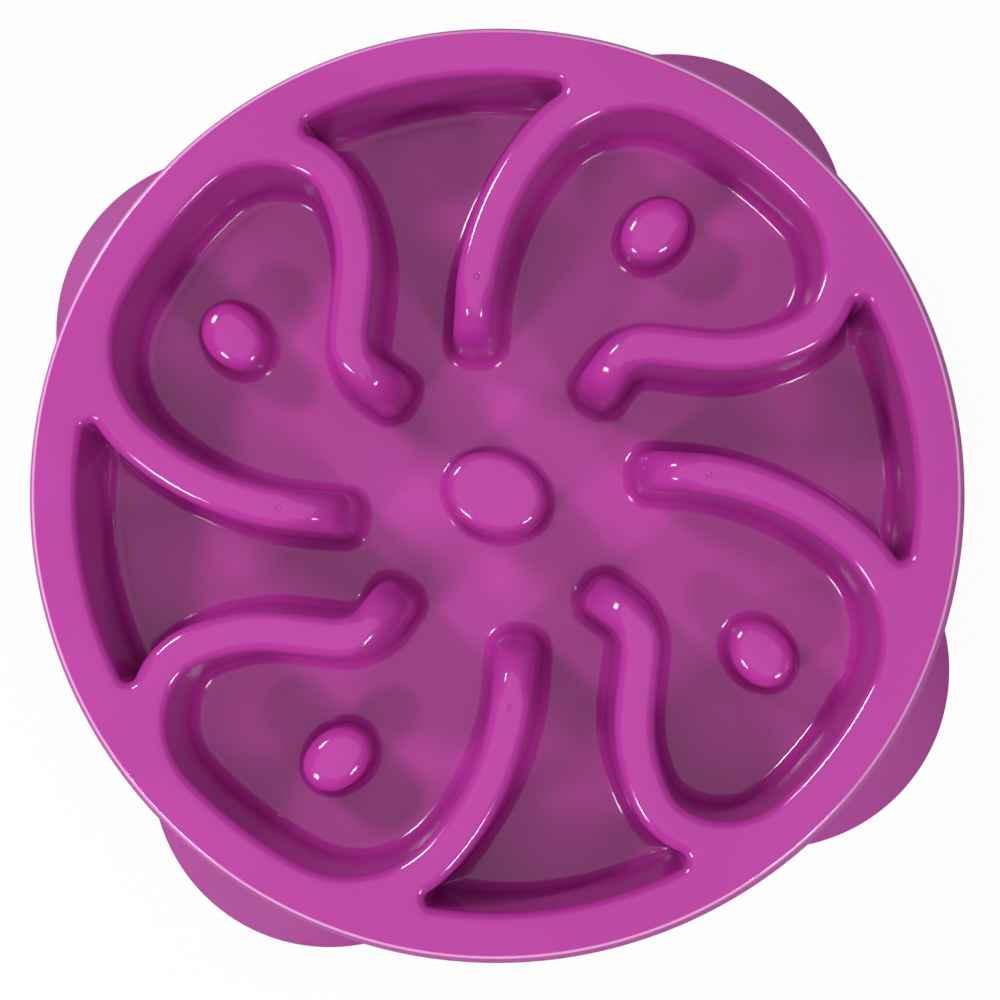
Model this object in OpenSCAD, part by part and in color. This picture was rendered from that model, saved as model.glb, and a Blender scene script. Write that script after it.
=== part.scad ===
// Slow feeder bowl: one thin moulding with a maze of hollow ridges, standing on four rubber pads.
// Millimetres, +Z up, origin on the table under the middle of the bowl.
// The four feet point along +X, +Y, -X and -Y, and the maze repeats four times round the middle.

/* [Overall] */
// Height of the rim above the table
rim_height = 57; // [52:0.5:66]
// Wall of the moulding
wall = 2.5; // [2:0.1:3]
// Draft of every wall that the mould draws, in degrees
draft = 3; // [1.5:0.25:4]

/* [Food well] */
// Diameter of the well, measured where its wall would meet the rim
well_d = 236; // [200:1:300]
// Width of the rim, from the well's wall out to the lower edge of the lip
rim_w = 14.5; // [12:0.5:18]
// Depth of the well below the rim
well_depth = 38; // [30:0.5:42]
// Rounding along the top edges of the rim, the ridges and the well
edge_r = 3; // [2:0.1:3.6]

/* [Maze] */
// Width of a ridge, measured where its sides would meet the top
ridge_w = 11; // [9:0.1:13]
// Long and short diameters of the nub in the middle
middle_nub_long = 28; // [22:0.5:32]
middle_nub_short = 22; // [18:0.5:24]
// Drop of the middle nub below the rim
middle_nub_drop = 9; // [4:0.5:16]
// Long and short diameters of the nub in each petal
petal_nub_long = 20; // [16:0.5:24]
petal_nub_short = 15.5; // [13:0.5:18]
// Drop of the petal nubs below the rim
petal_nub_drop = 19; // [12:0.5:22]
// Rounding round the top of a nub
nub_edge_r = 4; // [2.8:0.1:5]

/* [Lip and skirt] */
// Height of the lip's sloping face
lip_drop = 10; // [7:0.5:12]
// How much wider the lip is at its lower edge than at the rim
lip_flare = 2.5; // [1:0.1:4]
// Rounding of the lip's top edge
lip_r = 2; // [1:0.1:3]
// Step under the lip, from its lower edge in to the skirt
lip_ledge = 1.5; // [0.8:0.1:2]
// Draft of the skirt, in degrees
skirt_draft = 1; // [0.5:0.25:2]
// Gap between the table and the lower edge of the feet
foot_clearance = 1.5; // [1:0.1:2.5]
// Height of the finger arches between the feet, above the lower edge
arch_rise = 14; // [8:0.5:20]
// Width of each arch at the lower edge
arch_w = 88; // [60:1:92]

/* [Feet] */
// How far the tip of each foot stands out past the lip
foot_reach = 17.5; // [12:0.5:22]
// Plan radius of a foot at the lower edge
foot_r = 54; // [48:0.5:60]
// How far the top of a foot stays inside the lip
foot_tuck = 1.5; // [1:0.1:2.5]
// Distance from the tip of a foot in to the middle of its pad
pad_inset = 12; // [11:0.5:14]
// Diameter and wall of the boss that holds a pad
boss_d = 11; // [9:0.5:12]
// Bore of the boss
boss_bore_d = 6.2; // [5:0.1:7]
// Depth of the bore
boss_bore_depth = 12; // [9:0.5:14]

/* [Pads] */
// Diameter of a pad
pad_d = 17; // [14:0.5:18]
// Thickness of a pad
pad_t = 3.2; // [2.8:0.1:4]
// Rounding of a pad's edges
pad_edge_r = 0.8; // [0.4:0.1:1.2]
// Diameter and depth of the dish in a pad's sole
pad_dish_d = 9; // [6:0.5:11]
pad_dish_depth = 0.6; // [0.3:0.1:1]
// Length of the stem that plugs into the boss
stem_l = 9; // [6:0.5:9]
// Clearance all round the stem
stem_clearance = 0.1; // [0.05:0.05:0.2]
// Taper of the stem's end
stem_lead = 1; // [0.5:0.1:1.5]

/* [Hidden] */
$fn = 96;

quarters = 4;
well_r = well_d / 2;
rim_r = well_r + rim_w;
floor_z = rim_height - well_depth;
lip_z = rim_height - lip_drop;
foot_x = rim_r + foot_reach - foot_r;
foot_top_r = rim_r - foot_tuck - foot_x;
pad_x = rim_r + foot_reach - pad_inset;
overrun = 1;

// The maze. Each petal is fenced by one ridge of even width, which follows the rim and then turns in
// at both ends. A branch lists its steps from the rim to its free end: the radius of a bend, or the
// length of a straight run, then the cosine and the sine of the turn, left being positive. Lengths
// are shares of the well's diameter, which counts as 236 parts. The turns are angles of whole-number
// triangles, so that neighbouring steps meet exactly.
whole_share = 236;
petal_bearing = atan2(0.07584, 0.99712);
rim_share = [122.5, 0.936, -0.352];
hook_shares = [
    rim_share, [25, 0.352, -0.936], [20.5, 0.8, -0.6], [50.5, 0.8432, -0.5376], [11, 1, 0],
    [14.5, 0.5376, 0.8432], [5, 1, 0]
];
plain_shares = [[35.5, 0.28, 0.96], [70, 0.8, 0.6], [15, 1, 0]];

// Middle of a petal's nub, and the turns of the nubs' long axes
petal_nub_share = [89, 2];
petal_nub_turn = atan2(-0.28, 0.96);
middle_nub_turn = atan2(0.96, -0.28);

function polar(r, a) = [r * cos(a), r * sin(a)];
function mirrored(points) = [for (k = [len(points) - 1 : -1 : 0]) [-points[k].x, points[k].y]];

// Size of a step of a branch, and where it ends when it starts at the origin along +X
function is_straight(step) = step[2] == 0;
function grown(share) = share * well_d / whole_share;
function ahead(step) =
    grown(step[0]) * (is_straight(step) ? [1, 0] : [abs(step[2]), sign(step[2]) * (1 - step[1])]);

// Half width of a post at the height z: w wide where its sides would meet its top
function half_width(w, top, z) = w / 2 + (top - z) * tan(draft);

// Section of a ridge or nub with a rounding r along both edges
module post_section(w, top, r) {
    low = floor_z - overrun;
    cy = top - r;
    cx = half_width(w, top, cy) - r / cos(draft);
    side = [[half_width(w, top, low), low], [cx, cy] + polar(r, draft), [cx, cy], [cx, top]];
    polygon(concat(side, mirrored(side)));
    for (hand = [-1, 1])
        translate([hand * cx, cy])
            circle(r = r);
}

// Section of the space inside a ridge or nub
module core_section(w, top) {
    low = floor_z - wall - overrun;
    inset = wall / cos(draft);
    crown = half_width(w, top, top - wall) - inset;
    foot = half_width(w, top, low) - inset;
    polygon([[-foot, low], [foot, low], [crown, top - wall], [-crown, top - wall]]);
}

module ridge_section() {
    post_section(ridge_w, rim_height, edge_r);
}

module ridge_core() {
    core_section(ridge_w, rim_height);
}

// Straight run of a section along +X
module run(length) {
    rotate([90, 0, 90])
        linear_extrude(length)
            children();
}

// Round end of a section on the +X side
module round_end() {
    rotate([0, 0, -90])
        rotate_extrude(angle = 180)
            intersection() {
                children();
                square([middle_nub_long, rim_height]);
            }
}

// Bend of a section that starts at the origin along +X
module bend(radius, step) {
    far = 2 * rim_r;
    c = step[1];
    s = abs(step[2]);
    mirror([0, step[2] < 0 ? 1 : 0, 0])
        translate([0, radius, 0])
            rotate([0, 0, -90])
                intersection() {
                    rotate_extrude()
                        translate([radius, 0])
                            children();
                    linear_extrude(rim_height + overrun)
                        polygon([[0, 0], [far, 0], [far, far * s / (1 + c)], [far * c, far * s]]);
                }
}

// One branch of a petal's ridge, from the origin along +X to its free end
module branch(steps, i = 0) {
    if (i == len(steps)) {
        round_end()
            children();
    } else {
        if (is_straight(steps[i]))
            run(grown(steps[i][0]))
                children();
        else
            bend(grown(steps[i][0]), steps[i])
                children();
        translate(ahead(steps[i]))
            rotate([0, 0, atan2(steps[i][2], steps[i][1])])
                branch(steps, i + 1)
                    children();
    }
}

// The ridge that fences one petal: along the rim, then in along both branches
module petal_ridge() {
    rotate([0, 0, petal_bearing])
        translate([grown(rim_share[0]), 0, 0]) {
            rotate([0, 0, -90])
                branch(hook_shares)
                    children();
            rotate([0, 0, 90])
                branch(plain_shares)
                    children();
        }
}

// A post with round ends along X
module post(length) {
    translate([-length / 2, 0, 0])
        run(length)
            children();
    for (side = [0, 180])
        rotate([0, 0, side])
            translate([length / 2, 0, 0])
                round_end()
                    children();
}

module at_petal_nub() {
    translate([grown(petal_nub_share.x), grown(petal_nub_share.y), 0])
        rotate([0, 0, petal_nub_turn])
            children();
}

module petal_nub() {
    at_petal_nub()
        post(petal_nub_long - petal_nub_short)
            post_section(petal_nub_short, rim_height - petal_nub_drop, nub_edge_r);
}

module petal_nub_core() {
    at_petal_nub()
        post(petal_nub_long - petal_nub_short)
            core_section(petal_nub_short, rim_height - petal_nub_drop);
}

module middle_nub() {
    rotate([0, 0, middle_nub_turn])
        post(middle_nub_long - middle_nub_short)
            post_section(middle_nub_short, rim_height - middle_nub_drop, nub_edge_r);
}

module middle_nub_core() {
    rotate([0, 0, middle_nub_turn])
        post(middle_nub_long - middle_nub_short)
            core_section(middle_nub_short, rim_height - middle_nub_drop);
}

module each_quarter() {
    for (q = [0 : quarters - 1])
        rotate([0, 0, q * 360 / quarters])
            children();
}

// Section of the floor, the well's wall, the rim, the lip and the skirt, from the middle outwards
module rim_section() {
    well_foot_r = well_r - well_depth * tan(draft);
    edge_y = rim_height - edge_r;
    edge_x = well_r - edge_r * tan(draft) + edge_r / cos(draft);
    lip_y = rim_height - lip_r;
    lip_x = rim_r - (lip_y - lip_z) * lip_flare / lip_drop - lip_r;
    skirt_r = rim_r - lip_ledge;
    polygon([
        [0, foot_clearance],
        [skirt_r + (lip_z - foot_clearance) * tan(skirt_draft), foot_clearance],
        [skirt_r, lip_z], [rim_r, lip_z], [lip_x + lip_r, lip_y], [lip_x, lip_y],
        [lip_x, rim_height], [edge_x, rim_height], [edge_x, edge_y],
        [edge_x, edge_y] + polar(edge_r, 180 - draft),
        [well_foot_r, floor_z], [0, floor_z]
    ]);
    translate([edge_x, edge_y])
        circle(r = edge_r);
    translate([lip_x, lip_y])
        circle(r = lip_r);
}

// Section of the space under the floor and inside the rim
module rim_core_section() {
    low = foot_clearance - overrun;
    inner_r = well_r + wall / cos(draft);
    skirt_r = rim_r - lip_ledge - wall;
    under_floor = floor_z - wall;
    under_rim = rim_height - wall;
    polygon([
        [0, low], [skirt_r + (lip_z - low) * tan(skirt_draft), low], [skirt_r, lip_z],
        [skirt_r - lip_flare, under_rim], [inner_r - wall * tan(draft), under_rim],
        [inner_r - (rim_height - under_floor) * tan(draft), under_floor], [0, under_floor]
    ]);
}

// One foot, drawn in by skin: a cone that leans out from under the lip
module foot_cone(skin) {
    rise = lip_z - foot_clearance;
    slope = (foot_r - foot_top_r) / rise;
    inset = skin * sqrt(1 + slope * slope);
    under = skin > 0 ? overrun : 0;
    difference() {
        translate([foot_x, 0, foot_clearance - under])
            cylinder(
                r1 = foot_r - inset + under * slope,
                r2 = foot_top_r - inset + skin * slope,
                h = rise + under - skin
            );
        cylinder(r = well_r + wall + overrun, h = rim_height);
    }
}

// The arch that lets fingers under the skirt between two feet
module arch() {
    radius = (arch_w * arch_w / 4 + arch_rise * arch_rise) / (2 * arch_rise);
    translate([well_r + wall + overrun, 0, foot_clearance + arch_rise - radius])
        rotate([0, 90, 0])
            cylinder(r = radius, h = rim_r);
}

// Boss that hangs inside a foot and takes the stem of a pad
module boss() {
    difference() {
        intersection() {
            translate([pad_x, 0, pad_t])
                cylinder(d = boss_d, h = lip_z - pad_t);
            foot_cone(0);
        }
        translate([pad_x, 0, pad_t - overrun])
            cylinder(d = boss_bore_d, h = boss_bore_depth + overrun);
    }
}

// The outer form
module outer_form() {
    rotate_extrude()
        rim_section();
    each_quarter()
        foot_cone(0);
    each_quarter()
        petal_ridge()
            ridge_section();
    each_quarter()
        petal_nub();
    middle_nub();
}

module bowl_shell() {
    color("mediumvioletred") {
        difference() {
            outer_form();
            rotate_extrude()
                rim_core_section();
            each_quarter()
                foot_cone(wall);
            each_quarter()
                petal_ridge()
                    ridge_core();
            each_quarter()
                petal_nub_core();
            middle_nub_core();
            rotate([0, 0, 180 / quarters])
                each_quarter()
                    arch();
        }
        each_quarter()
            boss();
    }
}

// A rubber pad with the stem that holds it in its boss
module foot_pad(q) {
    r = pad_d / 2;
    e = pad_edge_r;
    stem_r = boss_bore_d / 2 - stem_clearance;
    color("darkslategray")
        rotate([0, 0, q * 360 / quarters])
            translate([pad_x, 0, 0])
                rotate_extrude() {
                    polygon([
                        [0, pad_dish_depth], [pad_dish_d / 2 - pad_dish_depth, pad_dish_depth],
                        [pad_dish_d / 2, 0], [r - e, 0], [r, e], [r, pad_t - e], [r - e, pad_t],
                        [stem_r, pad_t], [stem_r, pad_t + stem_l - stem_lead],
                        [stem_r - stem_lead, pad_t + stem_l], [0, pad_t + stem_l]
                    ]);
                }
}

module foot_pad_1() { foot_pad(0); }
module foot_pad_2() { foot_pad(1); }
module foot_pad_3() { foot_pad(2); }
module foot_pad_4() { foot_pad(3); }

bowl_shell();
foot_pad_1();
foot_pad_2();
foot_pad_3();
foot_pad_4();
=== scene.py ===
import bmesh
import bpy
from math import atan2, ceil, cos, pi, radians, sin, sqrt, tan
from mathutils import Matrix, Vector


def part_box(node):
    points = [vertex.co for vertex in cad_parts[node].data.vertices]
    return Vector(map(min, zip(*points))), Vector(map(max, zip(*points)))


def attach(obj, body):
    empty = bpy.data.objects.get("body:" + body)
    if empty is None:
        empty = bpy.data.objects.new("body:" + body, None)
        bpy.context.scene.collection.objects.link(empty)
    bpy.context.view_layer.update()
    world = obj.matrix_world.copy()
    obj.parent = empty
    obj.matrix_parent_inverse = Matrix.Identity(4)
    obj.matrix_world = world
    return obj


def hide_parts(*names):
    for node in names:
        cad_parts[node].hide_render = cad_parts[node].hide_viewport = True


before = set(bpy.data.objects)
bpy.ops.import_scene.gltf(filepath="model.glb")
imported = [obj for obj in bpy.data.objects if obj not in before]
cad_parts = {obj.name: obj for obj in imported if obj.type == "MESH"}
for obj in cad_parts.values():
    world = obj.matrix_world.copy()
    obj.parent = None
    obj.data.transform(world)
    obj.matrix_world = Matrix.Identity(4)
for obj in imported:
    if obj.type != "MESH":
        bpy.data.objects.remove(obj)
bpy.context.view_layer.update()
mm = 0.001                                  # the shell is drawn in millimetres and then made metres
shellLow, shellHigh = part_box("bowl_shell")
print("frame loaded, bowl", [round((b - a) / mm, 1) for a, b in zip(shellLow, shellHigh)])


# plan outlines

def onCircle(angle, radius=1.0):
    return Vector((radius * cos(angle), radius * sin(angle)))


def angleOf(v):
    return atan2(v.y, v.x)


def quarterTurn(q):
    return Matrix.Rotation(q * pi / 2, 2)


def near(angle, goal):
    # the same angle, a whole number of turns away, closest to the goal
    return angle + 2 * pi * round((goal - angle) / (2 * pi))


# an arc or a straight run, without its last point, which the next run brings
def arcPoints(centre, radius, start, end, steps):
    return [centre + onCircle(start + (end - start) * i / steps, radius) for i in range(steps)]


def linePoints(a, b, steps):
    return [a.lerp(b, i / steps) for i in range(steps)]


def atHeight(outline, z):
    return [Vector((p.x, p.y, z)) for p in outline]


# the rounding from a flat top to a wall, (along, down): its radius falls from soft to tight
def shoulder(soft, tight, draft, steps):
    fine = 8                                # short steps for each one kept
    turn = (pi / 2 - draft) / (steps * fine)
    along = down = 0
    spots = [(0, 0)]
    for i in range(steps * fine):
        share = (i + 0.5) / (steps * fine)
        radius = tight + (soft - tight) * (1 - share) ** 2
        tilt = turn * (i + 0.5)
        along += radius * turn * cos(tilt)
        down += radius * turn * sin(tilt)
        if i % fine == fine - 1:
            spots.append((along, down))
    return spots


# levels of a wall from its flat top down: (how far the outline has moved out, height)
def wallLevels(top, floor, draft, form):
    slope, base = tan(draft), form["base"]
    edgeSteps, wallSteps, baseSteps = form["levels"]
    spots = shoulder(*form["edge"], draft, edgeSteps)
    start = spots[-1][1] * slope - spots[-1][0]
    levels = [(start + along, top - down) for along, down in spots]
    wallEnd = floor + base - base * sin(draft)
    wallStart = levels[-1][1]
    for i in range(1, wallSteps):
        z = wallStart + (wallEnd - wallStart) * i / wallSteps
        levels.append(((top - z) * slope, z))
    middle = (top - floor - base) * slope + base / cos(draft)
    for i in range(baseSteps + 1):
        a = draft + (pi / 2 - draft) * i / baseSteps
        levels.append((middle - base * cos(a), floor + base - base * sin(a)))
    return levels


# mesh helpers

def place(verts, outline):
    for v, p in zip(verts, outline):
        v.co = p


def ringEdges(bm, ring):
    return [bm.edges.get((a, b)) for a, b in zip(ring, ring[1:] + ring[:1])]


def neighbour(v, among):
    return next(e.other_vert(v) for e in v.link_edges if e.other_vert(v) in among)


def inOrder(verts):
    # the vertices of a ring, each next to the last
    ring, left = [verts[0]], set(verts[1:])
    while left:
        v = neighbour(ring[-1], left)
        ring.append(v)
        left.remove(v)
    return ring


# a ring made from a circle's vertices and extruded from outline to outline
def loft(bm, outlines):
    ring = inOrder(bmesh.ops.create_circle(bm, segments=len(outlines[0]))["verts"])
    place(ring, outlines[0])
    first = ring
    for outline in outlines[1:]:
        made = bmesh.ops.extrude_edge_only(bm, edges=ringEdges(bm, ring))["geom"]
        fresh = {g for g in made if isinstance(g, bmesh.types.BMVert)}
        ring = [neighbour(v, fresh) for v in ring]
        place(ring, outline)
    return first, ring


def fill(bm, rings):
    edges = [e for ring in rings for e in ringEdges(bm, ring)]
    bmesh.ops.triangle_fill(bm, use_beauty=True, use_dissolve=False, edges=edges)


def closePole(bm, ring):
    middle = sum((v.co for v in ring), Vector()) / len(ring)
    bmesh.ops.pointmerge(bm, verts=ring, merge_co=middle)


def makeSatin(bm, first, below):
    # the faces from the first one on that lie below this height get the second material
    bm.faces.ensure_lookup_table()
    for f in bm.faces[first:]:
        if f.calc_center_median().z < below:
            f.material_index = 1


def finishPiece(bm, name, body):
    bmesh.ops.scale(bm, vec=(mm, mm, mm), verts=bm.verts)
    bmesh.ops.recalc_face_normals(bm, faces=bm.faces)
    for f in bm.faces:
        f.smooth = True
    mesh = bpy.data.meshes.new(name)
    bm.to_mesh(mesh)
    bm.free()
    piece = bpy.data.objects.new(name, mesh)
    bpy.context.collection.objects.link(piece)
    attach(piece, body)
    print(name, "has", len(mesh.polygons), "faces")
    return piece


# the maze, in the top plane

maze = {
    "top": 57, "floor": 19, "draft": radians(3), "wall": 2.5,
    "halfWidth": 5.5,                       # of a ridge, where its sides would meet the top
    "rimWall": 117.5,                       # radius of the well, likewise
    # rounding along the tops, soft where it leaves the flat, and the fillet at the floor,
    # with the rings along the rounding, the wall and the fillet; then the same for the back
    "front": {"edge": (7.5, 1.8), "base": 4, "levels": (8, 5, 6)},
    "back": {"edge": (0.6, 0.6), "base": 5, "levels": (2, 3, 3)},
    # the ridges end bluntly, with corners that get no tighter than the last number
    "endCorner": 3.9, "cornerSteps": 9, "endSteps": 3, "leastCorner": 0.5,
    "nose": 16, "noseCrown": 7.5,           # the tops curve down to the ends, and across them
    "noseEase": 3,                          # the crown starts gently, this far to both sides
    "noseFoot": 25,                         # below this height nothing moves
    "noseAhead": 4, "noseBeside": 3,        # how far off a point of the wall may lie
    "spacing": 1.9, "turnStep": radians(7),
    "shortRim": 22, "longRim": 52,          # steps of the rim's wall between two ridges
    "leastFillet": 0.3,
    # steps of a ridge from the rim in: radius and turn of a bend, or length of a run and no turn
    "hook": {
        "bearing": radians(-14.7), "away": -1, "fillet": 2.7,
        "steps": [(28.0, -69.3), (19.0, -39.2), (49.1, -31.0), (14.1, 0), (13.1, 60.5), (4.6, 0)],
    },
    "plain": {
        "bearing": radians(4.5), "away": 1, "fillet": 2.45,
        "steps": [(35.4, 75.9), (78.3, 37.7), (7.8, 0)],
    },
}


def walk(ridge):
    # the ridge's centre line, step by step, and where it ends
    spot = onCircle(ridge["bearing"], maze["rimWall"] + maze["halfWidth"])
    heading = ridge["bearing"] + ridge["away"] * pi / 2
    steps = []
    for size, turn in ridge["steps"]:
        turn = radians(turn)
        hand = (turn > 0) - (turn < 0)
        length = size * abs(turn) if turn else size
        count = max(2, ceil(length / maze["spacing"]), ceil(abs(turn) / maze["turnStep"]))
        step = {"hand": hand, "size": size, "start": heading, "end": heading + turn, "count": count}
        if hand:
            step["centre"] = spot + onCircle(heading + pi / 2, size * hand)
            spot = step["centre"] - onCircle(heading + turn + pi / 2, size * hand)
        else:
            step["a"] = spot
            spot = spot + onCircle(heading, size)
            step["b"] = spot
        heading += turn
        steps.append(step)
    return steps, spot, heading


def wedgeCorner(ridge, steps, out):
    # the fillet between the rim's wall and the outer side of a ridge's first or second bend
    radius = max(ridge["fillet"] - out, maze["leastFillet"])
    rim = maze["rimWall"] - out - radius
    for bend in steps[:2]:
        reach = bend["size"] + maze["halfWidth"] + out + radius
        axis = bend["centre"].normalized()
        apart = bend["centre"].length
        along = (rim * rim + apart * apart - reach * reach) / (2 * apart)
        across = sqrt(rim * rim - along * along) * ridge["away"]
        middle = axis * along + Vector((-axis.y, axis.x)) * across
        toBend = angleOf(bend["centre"] - middle)
        cut = near(toBend - ridge["away"] * pi / 2, bend["start"])
        if abs(cut - bend["start"]) < abs(bend["end"] - bend["start"]):
            break
    return {"middle": middle, "radius": radius, "toRim": angleOf(middle), "toBend": toBend,
            "cut": cut}


def side(steps, offset, cut=None):
    # one side of a ridge from the rim in; on the wedge's side its first two bends start at the cut
    points = []
    if cut is not None:
        a, b = steps[:2]
        count = a["count"] + b["count"]
        for k in range(count):
            h = cut + (b["end"] - cut) * k / count
            bend = a if abs(h - a["start"]) < abs(a["end"] - a["start"]) else b
            reach = offset - bend["hand"] * bend["size"]
            points.append(bend["centre"] + onCircle(h + pi / 2, reach))
        steps = steps[2:]
    for step in steps:
        start, end = step["start"] + pi / 2, step["end"] + pi / 2
        if step["hand"]:
            reach = offset - step["hand"] * step["size"]
            points += arcPoints(step["centre"], reach, start, end, step["count"])
        else:
            across = onCircle(start, offset)
            points += linePoints(step["a"] + across, step["b"] + across, step["count"])
    return points


def ridgeOutline(ridge, out):
    # up the left side, round the end and down the right side, with the wedge's side cut short
    steps, tip, heading = walk(ridge)
    half = maze["halfWidth"] + out
    corner = wedgeCorner(ridge, steps, out)
    left = side(steps, half, corner["cut"] if ridge["away"] < 0 else None)
    right = side(steps, -half, corner["cut"] if ridge["away"] > 0 else None)
    radius = max(maze["endCorner"] + out, maze["leastCorner"])
    inset = half - radius
    toLeft, toRight = heading + pi / 2, heading - pi / 2
    forward, across = onCircle(heading, inset), onCircle(toLeft, inset)
    a, b = tip + forward + across, tip + forward - across
    front = onCircle(heading, radius)
    cap = [tip + onCircle(toLeft, half)]
    cap += arcPoints(a, radius, toLeft, heading, maze["cornerSteps"])
    cap += linePoints(a + front, b + front, maze["endSteps"])
    cap += arcPoints(b, radius, heading, toRight, maze["cornerSteps"])
    cap += [b + onCircle(toRight, radius), tip + onCircle(toRight, half)]
    return left, cap + right[:0:-1], corner


def ridgeTips():
    # where each ridge ends, the way it points there, and the bend that its last run comes out of
    tips = []
    for ridge in (maze["hook"], maze["plain"]):
        steps, spot, heading = walk(ridge)
        bend, run = steps[-2:]
        for q in range(4):
            turn = quarterTurn(q)
            tips.append({"spot": turn @ spot, "ahead": turn @ onCircle(heading),
                         "run": run["size"], "centre": turn @ bend["centre"],
                         "size": bend["size"], "hand": bend["hand"]})
    return tips


def alongRidge(p, tip):
    # how far a point is past the ridge's tip, along the ridge, and how far off its middle line
    past, across = (p - tip["spot"]).dot(tip["ahead"]), (p - tip["spot"]).cross(tip["ahead"])
    if past < -tip["run"]:
        bendEnd = tip["spot"] - tip["ahead"] * tip["run"] - tip["centre"]
        arm = p - tip["centre"]
        turned = atan2(bendEnd.cross(arm), bendEnd.dot(arm))
        past = tip["hand"] * tip["size"] * turned - tip["run"]
        across = arm.length - tip["size"]
    return past, across


def withNoses(outline, z, tips, inside=0):
    # the outline at its height, curving down where the ridges end
    nose, draft, half, ease = (maze[k] for k in ("nose", "draft", "halfWidth", "noseEase"))
    start = half + nose * (1 - sin(draft)) * tan(draft) - nose * cos(draft)
    share = max(z - maze["noseFoot"], 0) / (maze["top"] - maze["noseFoot"])
    radius = nose - inside
    ahead, beside = nose + maze["noseAhead"], half + maze["noseBeside"]
    points = []
    for p in outline:
        drop = 0
        for tip in tips:
            past, across = alongRidge(p, tip)
            past -= start
            if -ease < past < ahead and abs(across) < beside:
                along = min(max(past, 0), radius)
                swell = min((past + ease) / (2 * ease), 1)
                drop = radius - sqrt(radius ** 2 - along ** 2)
                drop += across ** 2 / (2 * maze["noseCrown"]) * swell ** 2 * (3 - 2 * swell)
        points.append(Vector((p.x, p.y, z - drop * share)))
    return points


def pocketOutline(out):
    # the well's wall, all the way round with the well on the left
    rim, middle = maze["rimWall"] - out, Vector((0, 0))
    hook, hookBack, nextCorner = ridgeOutline(maze["hook"], out)
    plain, plainBack, corner = ridgeOutline(maze["plain"], out)
    quarter = hook + hookBack
    quarter += arcPoints(middle, rim, maze["hook"]["bearing"], maze["plain"]["bearing"],
                         maze["shortRim"])
    quarter += plain + plainBack
    # the two corners of the wedge, the second of them at the next quarter's hook
    toRim, toBend = corner["toRim"], near(corner["toBend"], corner["toRim"] - pi / 2)
    quarter += arcPoints(corner["middle"], corner["radius"], toBend, toRim, maze["cornerSteps"])
    nextToRim = nextCorner["toRim"]
    quarter += arcPoints(middle, rim, toRim, nextToRim + pi / 2, maze["longRim"])
    nextToBend = near(nextCorner["toBend"], nextToRim + pi / 2)
    quarter += [quarterTurn(1) @ p for p in arcPoints(
        nextCorner["middle"], nextCorner["radius"], nextToRim, nextToBend, maze["cornerSteps"])]
    return [quarterTurn(q) @ p for q in range(4) for p in quarter]


def behindWall():
    # how far the back's outline moves for a wall of even thickness
    return maze["wall"] * tan(maze["draft"]) - maze["wall"] / cos(maze["draft"])


def makeWell(bm):
    # the well's side, and the space behind it
    top, floor, draft, t = maze["top"], maze["floor"], maze["draft"], maze["wall"]
    tips = ridgeTips()
    front = wallLevels(top, floor, draft, maze["front"])
    wellTop, wellFloor = loft(bm, [withNoses(pocketOutline(e), z, tips) for e, z in front])
    back = wallLevels(top - t, floor - t, draft, maze["back"])
    backTop, backFloor = loft(bm, [
        withNoses(pocketOutline(e + behindWall()), z, tips, t) for e, z in back])
    return wellTop, wellFloor, backTop, backFloor


# nubs

nubs = {
    "middle": {"place": (0, 0), "long": 28.4, "short": 22.4, "drop": 9, "turn": radians(101),
               "edge": (6.5, 2), "dome": 0.15},
    "petal": {"place": (89, 1.9), "long": 20.6, "short": 16.2, "drop": 18.5,
              "turn": radians(-18), "edge": (13, 1.6), "dome": 0.01},
    "base": 3, "levels": (10, 4, 5), "segments": 64,
    "domeShares": (0.8, 0.6, 0.4, 0.2),     # of the flat's half width, from its edge in
    "back": {"edge": (1.5, 1.5), "base": 5, "levels": (3, 3, 3)},
}


def nubPlaces():
    middle, petal = nubs["middle"], nubs["petal"]
    spots = [(Vector(middle["place"]), middle["turn"], middle)]
    for q in range(4):
        spots.append((quarterTurn(q) @ Vector(petal["place"]), petal["turn"] + q * pi / 2, petal))
    return spots


def nubOutline(spot, turn, nub, out, z):
    # an ellipse, drawn in keeping its proportions, or moved out evenly
    a, b = nub["long"] / 2, nub["short"] / 2
    a = a * (1 + out / b) if out < 0 else a + out
    b += out
    points = []
    for i in range(nubs["segments"]):
        t = 2 * pi * i / nubs["segments"]
        p = Matrix.Rotation(turn, 2) @ Vector((a * cos(t), b * sin(t)))
        points.append(Vector((spot.x + p.x, spot.y + p.y, z)))
    return points


def makeNubs(bm):
    # from the floor up to their domed tops, outside and inside
    floor, draft, t = maze["floor"], maze["draft"], maze["wall"]
    onFloor, underFloor = [], []
    for spot, turn, nub in nubPlaces():
        top = maze["top"] - nub["drop"]
        form = {"edge": nub["edge"], "base": nubs["base"], "levels": nubs["levels"]}
        levels = wallLevels(top, floor, draft, form)[::-1]
        flatEdge = levels[-1][0]
        half = nub["short"] / 2 + flatEdge
        for share in nubs["domeShares"]:
            levels.append((flatEdge - half * (1 - share), top + nub["dome"] * (1 - share * share)))
        low, high = loft(bm, [nubOutline(spot, turn, nub, e, z) for e, z in levels])
        closePole(bm, high)
        onFloor.append(low)
        inner = wallLevels(top - t, floor - t, draft, nubs["back"])[::-1]
        low, high = loft(bm, [nubOutline(spot, turn, nub, e + behindWall(), z) for e, z in inner])
        fill(bm, [high])
        underFloor.append(low)
    return onFloor, underFloor


# lip, skirt and feet

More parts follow.
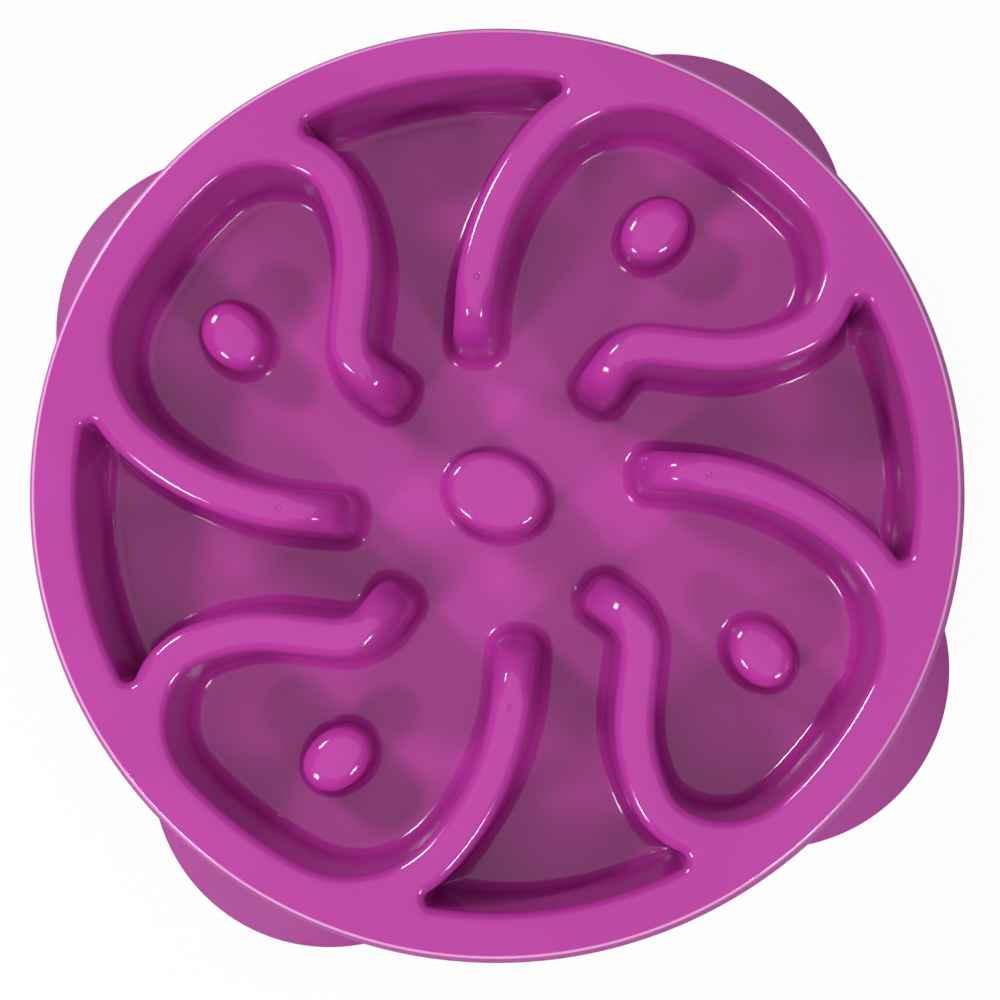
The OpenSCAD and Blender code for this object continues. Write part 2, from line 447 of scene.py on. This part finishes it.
skirt = {
    "lipTop": 128.5, "lipRound": 2, "lipFace": 132.5, "lipBottom": 47, "lipSegments": 384,
    "lipSteps": 6, "lipShares": (0.25, 0.5, 0.75, 0.94),    # down its rounding and its face
    "lipFoot": ((-0.05, 0.25), (-0.3, 0)),  # the lower edge's rounding, from the face's corner
    "ledge": 0.8,                           # the lip's underside ends this far off the skirt
    "satinBelow": 1.2,                      # the lip is satin from this far below the top
    "radius": 131, "draft": radians(1), "bottom": 1.5, "edge": 0.7, "edgeSteps": 4,
    "footMiddle": 96, "footTop": 35, "footBottom": 54, "footFillet": 3,
    "archHalf": 44, "archRise": 14,
    "archEdge": 0.01,                       # a point this near the circle is part of the arch
    "footSteps": 24, "filletSteps": 8, "skirtSteps": 14, "archSteps": 40,
    "start": 0.1,                           # height of the skirt's first step under the lip
    "levels": (46.6, 46, 45, 43.5, 41.5, 39, 36, 32.5, 29, 25, 21, 17, 13, 9, 5.5, 3.4),
    "backLevels": (5.5, 13, 21, 29, 36, 41.5, 44, 45.4, 46.3),
    "neck": ((0.3, 47.4), (2, 53.5), (3, 54.5)),    # in from the wall and height, under the rim
}


def footSlope():
    # how fast the feet spread on the way down
    return (skirt["footBottom"] - skirt["footTop"]) / (skirt["lipBottom"] - skirt["bottom"])


def skirtOutline(z, skin=0.0):
    # the skirt's circle with the four feet, drawn in by skin
    s, slope, middle = skirt, footSlope(), Vector((0, 0))
    bottom, half, rise = s["bottom"], s["archHalf"], s["archRise"]
    fall, share = s["lipBottom"] - z, (z - bottom) / (s["lipBottom"] - bottom)
    ring = s["radius"] + fall * tan(s["draft"]) - skin
    foot = s["footTop"] + fall * slope - skin * sqrt(1 + slope * slope)
    fillet, far = s["footFillet"] + skin, s["footMiddle"]
    x = (far * far + (ring + fillet) ** 2 - (foot + fillet) ** 2) / (2 * far)
    corner = Vector((x, sqrt(max((ring + fillet) ** 2 - x * x, 0))))
    other = Vector((corner.y, corner.x))    # where the skirt meets the next foot
    footEnd, skirtStart = angleOf(corner - Vector((far, 0))), angleOf(corner)
    archStart = pi / 4 - atan2(half, sqrt(ring * ring - half ** 2))
    archEnd, skirtEnd = pi / 2 - archStart, pi / 2 - skirtStart
    archRadius = (half ** 2 + rise ** 2) / (2 * rise)
    quarter = arcPoints(Vector((far, 0)), foot, 0, footEnd, s["footSteps"])
    quarter += arcPoints(corner, fillet, footEnd + pi, skirtStart + pi, s["filletSteps"])
    quarter += arcPoints(middle, ring, skirtStart, archStart, s["skirtSteps"])
    quarter += arcPoints(middle, ring, archStart, archEnd, s["archSteps"])
    quarter += arcPoints(middle, ring, archEnd, skirtEnd, s["skirtSteps"])
    quarter += arcPoints(other, fillet, angleOf(other) + pi, pi / 2 - footEnd + pi,
                         s["filletSteps"])
    quarter += arcPoints(Vector((0, far)), foot, pi / 2 - footEnd, pi / 2, s["footSteps"])
    outline = []
    for q in range(4):
        for p in quarter:
            across = (p.y - p.x) / sqrt(2)  # from the middle of the arch
            low = bottom
            onRing = p.length < ring + s["archEdge"] and p.x > 0 and p.y > 0
            if abs(across) < half and onRing:
                low = bottom + rise - archRadius + sqrt(archRadius ** 2 - across ** 2)
            turned = quarterTurn(q) @ p
            outline.append(Vector((turned.x, turned.y, low + (s["lipBottom"] - low) * share)))
    return outline


def makeLip(bm):
    # from the rim's flat down to the ledge under the lip
    top, z, rounding = maze["top"], skirt["lipBottom"], skirt["lipRound"]
    outside, face = skirt["lipTop"], skirt["lipFace"]
    flare = atan2(face - outside - rounding, top - rounding - z)
    spots = []
    for i in range(skirt["lipSteps"] + 1):
        a = pi / 2 + (flare - pi / 2) * i / skirt["lipSteps"]
        spots.append((outside + rounding * cos(a), top - rounding * (1 - sin(a))))
    start, high = spots[-1]
    for share in skirt["lipShares"]:
        spots.append((start + (face - start) * share, high + (z - high) * share))
    spots += [(face + out, z + up) for out, up in skirt["lipFoot"]]
    spots.append((skirt["radius"] + skirt["ledge"], z))
    n, first = skirt["lipSegments"], len(bm.faces)
    lipTop, lipLow = loft(bm, [
        atHeight([onCircle(2 * pi * i / n, r) for i in range(n)], h) for r, h in spots])
    makeSatin(bm, first, top - skirt["satinBelow"])
    return lipTop, lipLow


def makeSkirt(bm):
    # skirt and feet, round their lower edge and up the inside to the back of the rim
    z, t, bottom, edge = skirt["lipBottom"], maze["wall"], skirt["bottom"], skirt["edge"]
    start = skirt["start"]
    band = [atHeight(skirtOutline(z - start), z), skirtOutline(z - 2 * start)]
    band += [skirtOutline(h) for h in skirt["levels"]]
    turns = [pi / 2 * i / skirt["edgeSteps"] for i in range(skirt["edgeSteps"] + 1)]
    for a in turns:
        band.append(skirtOutline(bottom + edge * (1 - sin(a)), edge * (1 - cos(a))))
    for a in turns[::-1]:
        band.append(skirtOutline(bottom + edge * (1 - sin(a)), t - edge * (1 - cos(a))))
    band += [skirtOutline(h, t) for h in skirt["backLevels"]]
    last = band[-1]
    for inward, h in skirt["neck"]:
        radius = skirt["radius"] - t - inward
        band.append(atHeight([onCircle(angleOf(p), radius) for p in last], h))
    first = len(bm.faces)
    bandTop, bandBack = loft(bm, band)
    makeSatin(bm, first, maze["top"])
    return bandTop, bandBack


# marks of the moulding gates on the plain ridges

gateMarks = {
    "place": (48.5, 36), "radius": 0.75, "width": 0.44, "deep": 0.17, "segments": 24,
    "across": (1, 0.75, 0.25, 0, -0.25, -0.75, -1),     # from the groove's outer edge to its inner
}


def makeGateMarks(bm):
    g = gateMarks
    groove = [(g["radius"] + g["width"] / 2 * share, g["deep"] * (1 - abs(share)))
              for share in g["across"]]
    groove.append((g["radius"] / 3, 0))
    marks = []
    for q in range(4):
        spot = quarterTurn(q) @ Vector(g["place"])
        rings = []
        for radius, drop in groove:
            ring = [spot + onCircle(2 * pi * i / g["segments"], radius)
                    for i in range(g["segments"])]
            rings.append(atHeight(ring, maze["top"] - drop))
        mark, centre = loft(bm, rings)
        closePole(bm, centre)
        marks.append(mark)
    return marks


# bosses for the pads, each let into the wall of its foot

bosses = {
    "reach": 138, "outer": 5.5, "bore": 3.1, "deep": 12, "bottom": 3.25, "segments": 40,
    "edge": 0.5, "edgeShare": 0.3,          # rounding outside, and how far its middle ring is in
    "mouth": 0.3, "end": 0.4,               # small slopes at the bore's mouth and end
}


def bossRing(turn, radius, z=None):
    # a ring of the boss at a height, or where it meets the wall
    points = []
    for i in range(bosses["segments"]):
        p = Vector((bosses["reach"], 0)) + onCircle(2 * pi * i / bosses["segments"], radius)
        foot = (p - Vector((skirt["footMiddle"], 0))).length
        wall = skirt["bottom"] + (skirt["footBottom"] - foot) / footSlope() - maze["wall"]
        p = turn @ p
        points.append(Vector((p.x, p.y, wall if z is None else z)))
    return points


def makeBosses(bm):
    b = bosses
    outer, bore, low = b["outer"], b["bore"], b["bottom"]
    edge, middle, end = b["edge"], b["edge"] * b["edgeShare"], low + b["deep"]
    spots = [(outer, None), (outer, low + edge), (outer - middle, low + middle),
             (outer - edge, low), (bore + b["mouth"], low), (bore, low + b["mouth"]),
             (bore, end - b["end"]), (bore - b["end"], end)]
    for q in range(4):
        first, last = loft(bm, [bossRing(quarterTurn(q), r, z) for r, z in spots])
        fill(bm, [last])
        fill(bm, [first])


# the moulding

def makeShell():
    bm = bmesh.new()
    wellTop, wellFloor, backTop, backFloor = makeWell(bm)
    onFloor, underFloor = makeNubs(bm)
    lipTop, lipLow = makeLip(bm)
    bandTop, bandBack = makeSkirt(bm)
    fill(bm, [lipLow, bandTop])
    marks = makeGateMarks(bm)
    fill(bm, [wellTop, lipTop] + marks)
    fill(bm, [wellFloor] + onFloor)
    fill(bm, [backFloor] + underFloor)
    fill(bm, [backTop, bandBack])
    makeBosses(bm)
    return finishPiece(bm, "bowlMoulding", "root")


moulding = makeShell()
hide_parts("bowl_shell")
weighted = moulding.modifiers.new("WeightedNormal", "WEIGHTED_NORMAL")
weighted.weight = 60
weighted.keep_sharp = False


# materials

def colour(r, g, b):
    # from the 0-255 values of a picture to the linear values of a shader
    def linear(c):
        c /= 255
        return c / 12.92 if c <= 0.04045 else ((c + 0.055) / 1.055) ** 2.4
    return (linear(r), linear(g), linear(b), 1)


def newMaterial(name):
    material = bpy.data.materials.new(name)
    material.use_nodes = True
    nodes, links = material.node_tree.nodes, material.node_tree.links
    nodes.clear()
    return material, nodes, links


def feed(links, value, socket):
    # a value is another node's output, or a number or colour for the socket itself
    if isinstance(value, bpy.types.NodeSocket):
        links.new(value, socket)
    else:
        socket.default_value = value


def mixColours(nodes, links, mask, a, b):
    mix = nodes.new("ShaderNodeMix")
    mix.data_type = "RGBA"
    links.new(mask, mix.inputs[0])
    feed(links, a, mix.inputs[6])
    feed(links, b, mix.inputs[7])
    return mix.outputs[2]


def mapRange(nodes, links, value, low, high, toLow, toHigh):
    node = nodes.new("ShaderNodeMapRange")
    node.interpolation_type = "SMOOTHSTEP"
    for given, socket in zip((value, low, high, toLow, toHigh), node.inputs):
        feed(links, given, socket)
    return node.outputs[0]


def maths(nodes, links, operation, *values):
    node = nodes.new("ShaderNodeMath")
    node.operation = operation
    for value, socket in zip(values, node.inputs):
        feed(links, value, socket)
    return node.outputs[0]


def makeSurfaceGroup():
    # fine grain for a bump, and a slow unevenness of tone, from a place on the piece
    group = bpy.data.node_groups.new("mouldSurface", "ShaderNodeTree")
    for name, kind, where in (
            ("Vector", "NodeSocketVector", "INPUT"), ("Grain Scale", "NodeSocketFloat", "INPUT"),
            ("Tone Scale", "NodeSocketFloat", "INPUT"), ("Grain", "NodeSocketFloat", "OUTPUT"),
            ("Tone", "NodeSocketFloat", "OUTPUT")):
        group.interface.new_socket(name=name, in_out=where, socket_type=kind)
    nodes, links = group.nodes, group.links
    start, end = nodes.new("NodeGroupInput"), nodes.new("NodeGroupOutput")
    for name, detail, roughness in (("Grain", 3, 0.6), ("Tone", 2, 0.5)):
        noise = nodes.new("ShaderNodeTexNoise")
        noise.inputs["Detail"].default_value = detail
        noise.inputs["Roughness"].default_value = roughness
        links.new(start.outputs["Vector"], noise.inputs["Vector"])
        links.new(start.outputs[name + " Scale"], noise.inputs["Scale"])
        links.new(noise.outputs["Fac"], end.inputs[name])
    return group


surfaceGroup = makeSurfaceGroup()

plastic = {
    "colour": colour(177, 53, 153), "deep": colour(173, 49, 149), "toneFrom": 0.35, "toneTo": 0.65,
    "gloss": 0.09, "satin": 0.35,           # roughness in the well, and on the lip's face
    "satinFrom": 0.1288, "satinTo": 0.1318, "uneven": 0.05,
    "ior": 1.5, "specular": 0.42,
    # the painted highlight along the lip's edge: where it is, its full and whole half width, and
    # its mask
    "wornAndHighlight": colour(232, 168, 220), "highlightRadius": 0.1295, "highlightFull": 0.00012, "highlightHalf": 0.0006,
    "highlightAbove": 0.054, "highlightWhole": 0.055, "highlightMost": 0.9, "highlightPatches": (0.25, 0.6, 0.6, 1),
    "grainScale": 900, "grain": 0.07, "grainHeight": 0.0004, "toneScale": 14,
}
skirtPlastic = dict(plastic, gloss=0.42, satin=0.46, specular=0.1, grain=0.14)

rubber = {
    "colour": colour(52, 50, 54), "wornAndHighlight": colour(66, 64, 68), "toneFrom": 0.4, "toneTo": 0.7,
    "rough": 0.72, "uneven": 0.08, "roughFrom": 0.3, "roughTo": 0.7,
    "grainScale": 1600, "grain": 0.35, "grainHeight": 0.0004, "toneScale": 90,
}


def startSurface(nodes, links, look):
    # the shader with its bump and output, and the tone for its colour and roughness
    coordinates, surface = nodes.new("ShaderNodeTexCoord"), nodes.new("ShaderNodeGroup")
    surface.node_tree = surfaceGroup
    surface.inputs["Grain Scale"].default_value = look["grainScale"]
    surface.inputs["Tone Scale"].default_value = look["toneScale"]
    links.new(coordinates.outputs["Object"], surface.inputs["Vector"])
    bump = nodes.new("ShaderNodeBump")
    bump.inputs["Strength"].default_value = look["grain"]
    bump.inputs["Distance"].default_value = look["grainHeight"]
    links.new(surface.outputs["Grain"], bump.inputs["Height"])
    shader, output = nodes.new("ShaderNodeBsdfPrincipled"), nodes.new("ShaderNodeOutputMaterial")
    links.new(bump.outputs["Normal"], shader.inputs["Normal"])
    links.new(shader.outputs[0], output.inputs["Surface"])
    return shader, surface.outputs["Tone"]


def makePlastic(name, look):
    material, nodes, links = newMaterial(name)
    shader, tone = startSurface(nodes, links, look)

    def through(value, *numbers):
        return mapRange(nodes, links, value, *numbers)

    def done(operation, *values):
        return maths(nodes, links, operation, *values)

    mask = through(tone, look["toneFrom"], look["toneTo"], 0, 1)
    moulded = mixColours(nodes, links, mask, look["colour"], look["deep"])
    # the tool is polished inside the lip and satin outside it
    coordinates, apart = nodes.new("ShaderNodeTexCoord"), nodes.new("ShaderNodeSeparateXYZ")
    links.new(coordinates.outputs["Object"], apart.inputs[0])
    x, y, z = apart.outputs
    radius = done("SQRT", done("ADD", done("MULTIPLY", x, x), done("MULTIPLY", y, y)))
    rough = through(radius, look["satinFrom"], look["satinTo"], look["gloss"], look["satin"])
    rough = done("ADD", rough, done("MULTIPLY", tone, look["uneven"]))
    links.new(rough, shader.inputs["Roughness"])
    # painted highlight: a thin pale line coloured along the lip's edge where light would catch its
    # rounding, broken into patches by the tone
    away = done("ABSOLUTE", done("SUBTRACT", radius, look["highlightRadius"]))
    highlightLine = through(away, look["highlightFull"], look["highlightHalf"], look["highlightMost"], 0)
    high = through(z, look["highlightAbove"], look["highlightWhole"], 0, 1)
    wornAndHighlight = done("MULTIPLY", done("MULTIPLY", highlightLine, high), through(tone, *look["highlightPatches"]))
    # the painted highlight's pale colour is mixed into the moulded colour
    withHighlight = mixColours(nodes, links, wornAndHighlight, moulded, look["wornAndHighlight"])
    links.new(withHighlight, shader.inputs["Base Color"])
    shader.inputs["IOR"].default_value = look["ior"]
    shader.inputs["Specular IOR Level"].default_value = look["specular"]
    return material


def makeRubber():
    material, nodes, links = newMaterial("darkRubber")
    look = rubber
    shader, tone = startSurface(nodes, links, look)
    mask = mapRange(nodes, links, tone, look["toneFrom"], look["toneTo"], 0, 1)
    links.new(mixColours(nodes, links, mask, look["colour"], look["wornAndHighlight"]),
              shader.inputs["Base Color"])
    low, high = look["rough"] - look["uneven"], look["rough"] + look["uneven"]
    rough = mapRange(nodes, links, tone, look["roughFrom"], look["roughTo"], low, high)
    links.new(rough, shader.inputs["Roughness"])
    return material


darkRubber = makeRubber()
moulding.data.materials.append(makePlastic("violetPlastic", plastic))
moulding.data.materials.append(makePlastic("satinViolet", skirtPlastic))
for name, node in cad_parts.items():
    if name.startswith("foot_pad"):
        node.data.materials.clear()
        node.data.materials.append(darkRubber)
print("materials made")


# floor, light and camera

# the photograph's right and up on the floor
photoRight, photoUp = Vector((0.5336, -0.8457, 0)), Vector((0.8457, 0.5336, 0))


def inPhoto(right, up, z):
    return photoRight * right + photoUp * up + Vector((0, 0, z))


studio = {
    "floorSize": 3.0, "floorColour": colour(222, 222, 222), "floorGlow": 0.95,
    "worldColour": colour(255, 255, 255), "worldLight": 0.17,
    # each lamp's direction on the photograph and from straight up, distance, width, height, power
    "lamps": {
        "upperLeft": (143, 50, 1.3, 0.3, 0.14, 7.4),
        "lowerLeft": (222, 50, 1.3, 0.26, 0.13, 5.2),
        "lowerRight": (-50, 52, 1.3, 0.28, 0.14, 4.8),
        "overhead": (0, 0, 2.4, 3.4, 3.4, 31.0),
    },
    "aim": Vector((0, 0, 0.05)),
}


def makeFloor():
    bm = bmesh.new()
    bmesh.ops.create_grid(bm, x_segments=1, y_segments=1, size=studio["floorSize"])
    mesh = bpy.data.meshes.new("studioFloor")
    bm.to_mesh(mesh)
    bm.free()
    floor = bpy.data.objects.new("studioFloor", mesh)
    bpy.context.collection.objects.link(floor)
    material, nodes, links = newMaterial("paleFloor")
    diffuse, glow = nodes.new("ShaderNodeBsdfDiffuse"), nodes.new("ShaderNodeEmission")
    diffuse.inputs["Color"].default_value = studio["floorColour"]
    mix, path = nodes.new("ShaderNodeMixShader"), nodes.new("ShaderNodeLightPath")
    seen = maths(nodes, links, "MULTIPLY", path.outputs["Is Camera Ray"], studio["floorGlow"])
    links.new(seen, mix.inputs[0])
    links.new(diffuse.outputs[0], mix.inputs[1])
    links.new(glow.outputs[0], mix.inputs[2])
    output = nodes.new("ShaderNodeOutputMaterial")
    links.new(mix.outputs[0], output.inputs["Surface"])
    mesh.materials.append(material)


def makeWorld():
    world = bpy.data.worlds.new("studioWorld")
    bpy.context.scene.world = world
    world.use_nodes = True
    nodes, links = world.node_tree.nodes, world.node_tree.links
    nodes.clear()
    path = nodes.new("ShaderNodeLightPath")
    seen = maths(nodes, links, "MAXIMUM", path.outputs["Is Camera Ray"], studio["worldLight"])
    background = nodes.new("ShaderNodeBackground")
    background.inputs["Color"].default_value = studio["worldColour"]
    links.new(seen, background.inputs["Strength"])
    output = nodes.new("ShaderNodeOutputWorld")
    links.new(background.outputs[0], output.inputs["Surface"])


def makeLamps():
    for name, (bearing, tilt, far, width, height, power) in studio["lamps"].items():
        data = bpy.data.lights.new(name, "AREA")
        data.shape, data.size, data.size_y, data.energy = "RECTANGLE", width, height, power
        lamp = bpy.data.objects.new(name, data)
        flat = onCircle(radians(bearing), sin(radians(tilt)))
        toward = inPhoto(*flat, cos(radians(tilt)))
        lamp.location = studio["aim"] + toward * far
        lamp.rotation_euler = (-toward).to_track_quat("-Z", "Y").to_euler()
        bpy.context.collection.objects.link(lamp)


view = {
    "place": (0.0209, -0.0272, 0.727), "aim": (0.0018, -0.0025, 0.057),
    "lens": 86.5, "sensor": 36, "nearest": 0.01, "farthest": 20,
}


def makeCamera():
    data = bpy.data.cameras.new("photoCamera")
    data.lens, data.sensor_width = view["lens"], view["sensor"]
    data.clip_start, data.clip_end = view["nearest"], view["farthest"]
    camera = bpy.data.objects.new("photoCamera", data)
    spot, aim = inPhoto(*view["place"]), inPhoto(*view["aim"])
    back = (spot - aim).normalized()
    across = photoUp.cross(back).normalized()
    matrix = Matrix((across, back.cross(across), back)).transposed().to_4x4()
    matrix.translation = spot
    camera.matrix_world = matrix
    bpy.context.collection.objects.link(camera)
    bpy.context.scene.camera = camera


makeFloor()
makeWorld()
makeLamps()
makeCamera()
bpy.context.scene.view_settings.view_transform = "Standard"
print("studio and camera set")
